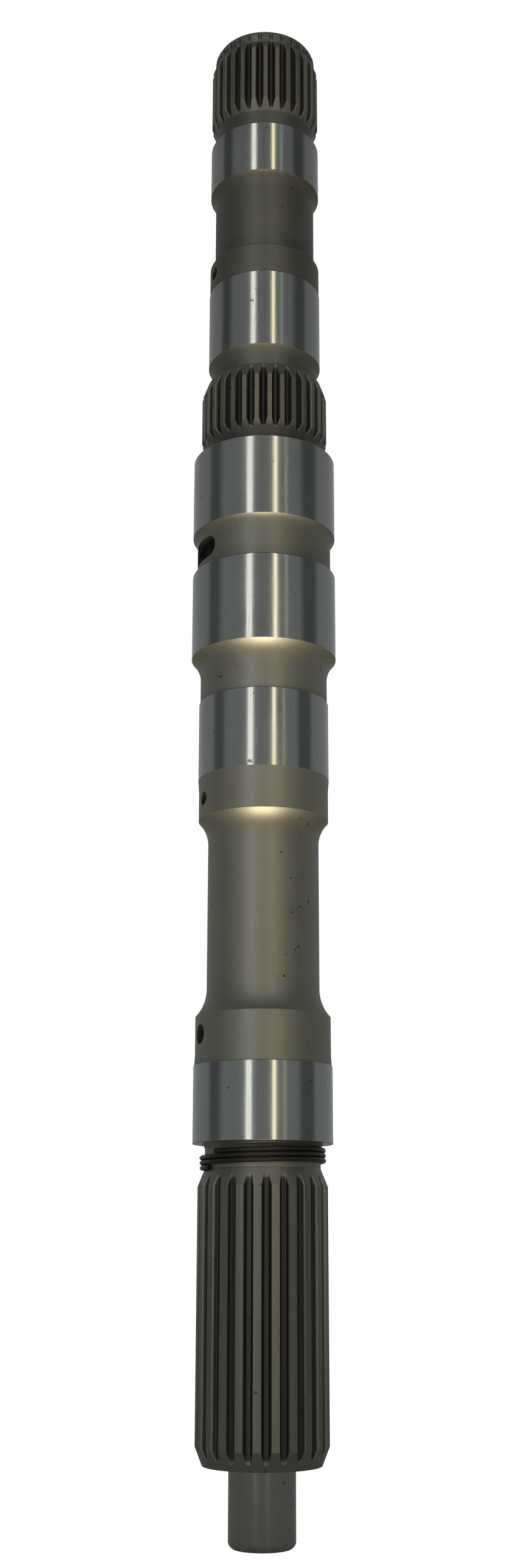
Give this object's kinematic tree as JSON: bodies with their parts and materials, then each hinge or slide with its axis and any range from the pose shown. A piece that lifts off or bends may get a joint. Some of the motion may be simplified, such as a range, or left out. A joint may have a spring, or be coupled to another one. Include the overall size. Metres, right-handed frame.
{
  "type": "splined main shaft",
  "caption": "Stepped steel gearbox shaft with involute splines, ground bearing journals, oil holes and a wound wire ring in its neck.",
  "frame": {"origin": "centre of the pilot's flat end face, which the shaft stands on", "axes": "+Z along the shaft's axis, from the pilot to the end spline; the oil holes open towards -X and slightly towards -Y"},
  "size_m": [0.0671, 0.067, 0.71],
  "materials": {
    "shaft_steel": "ground bright on the journals, grey-olive phosphate elsewhere",
    "ring_wire": "black oxide spring wire"
  },
  "bodies": {
    "root": {"main_shaft": "shaft_steel", "wire_ring": "ring_wire"}
  },
  "joints": []
}
